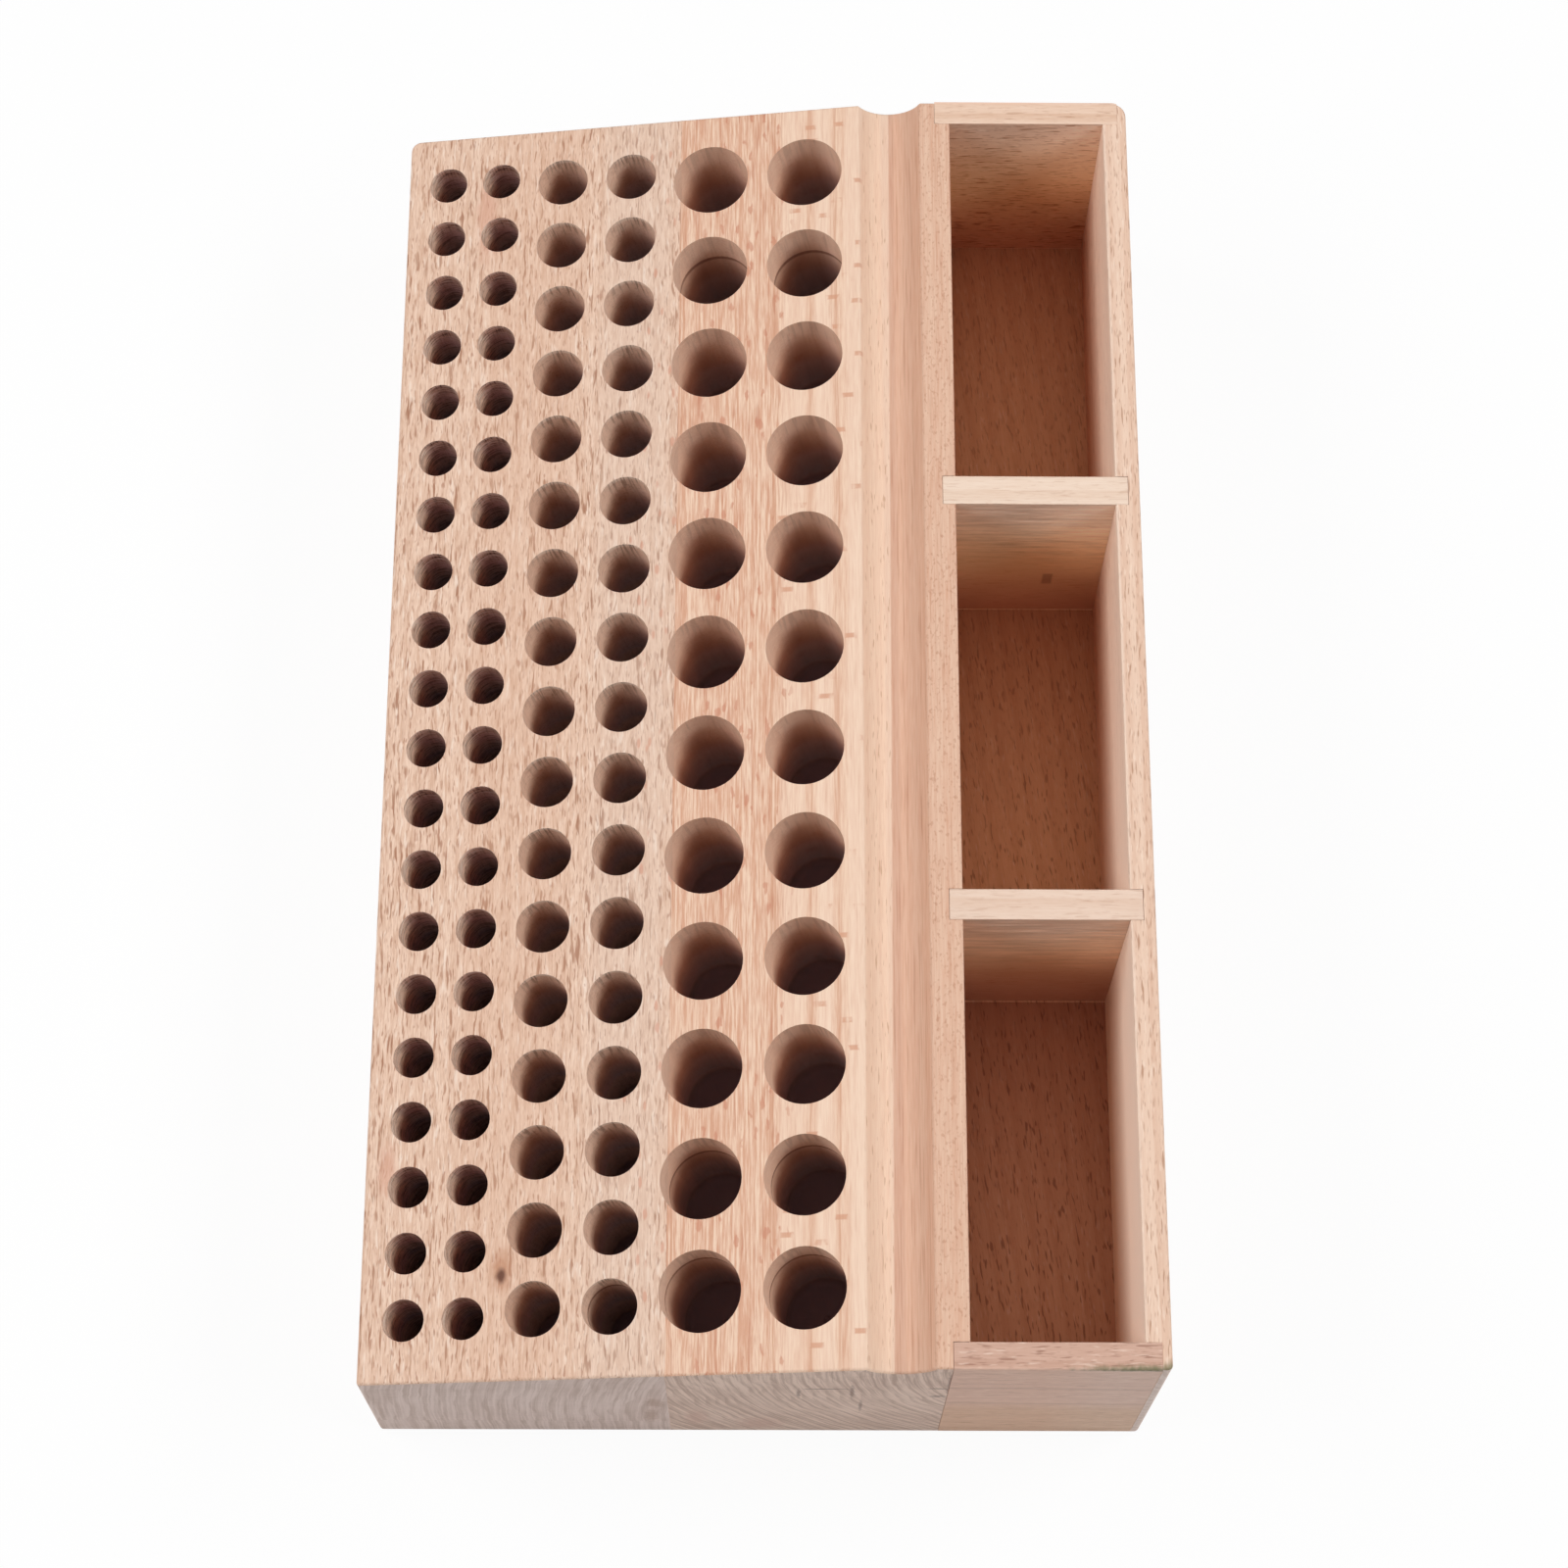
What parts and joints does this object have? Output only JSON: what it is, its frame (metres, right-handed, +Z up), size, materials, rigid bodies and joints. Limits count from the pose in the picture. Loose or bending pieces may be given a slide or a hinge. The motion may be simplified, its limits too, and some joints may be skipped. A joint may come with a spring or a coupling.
{
  "type": "tool holder stand",
  "caption": "Sloped hardwood bench stand with lines of blind round holes for small tools, a round groove along its top and a divided open tray behind.",
  "frame": {"origin": "middle of the footprint, on the surface that the stand rests on", "axes": "+X along the stand to its near end, +Y from the low front edge to the tray, +Z up"},
  "size_m": [0.26, 0.147, 0.0604],
  "materials": {
    "pale_beech": "sanded bare beech, the paler stave",
    "pink_beech": "sanded bare beech, the pinker stave",
    "wall_beech": "sanded bare beech board",
    "end_beech": "sanded bare beech board, warmer in colour",
    "divider_beech": "sanded bare beech board",
    "floor_beech": "bare beech panel, darker in colour"
  },
  "bodies": {
    "root": {"front_stave": "pale_beech", "front_stave_base": "pale_beech", "rear_stave": "pink_beech", "rear_stave_base": "pink_beech", "outer_wall": "wall_beech", "near_end_wall": "end_beech", "far_end_wall": "end_beech", "near_divider": "divider_beech", "far_divider": "divider_beech", "tray_floor": "floor_beech"}
  },
  "joints": []
}
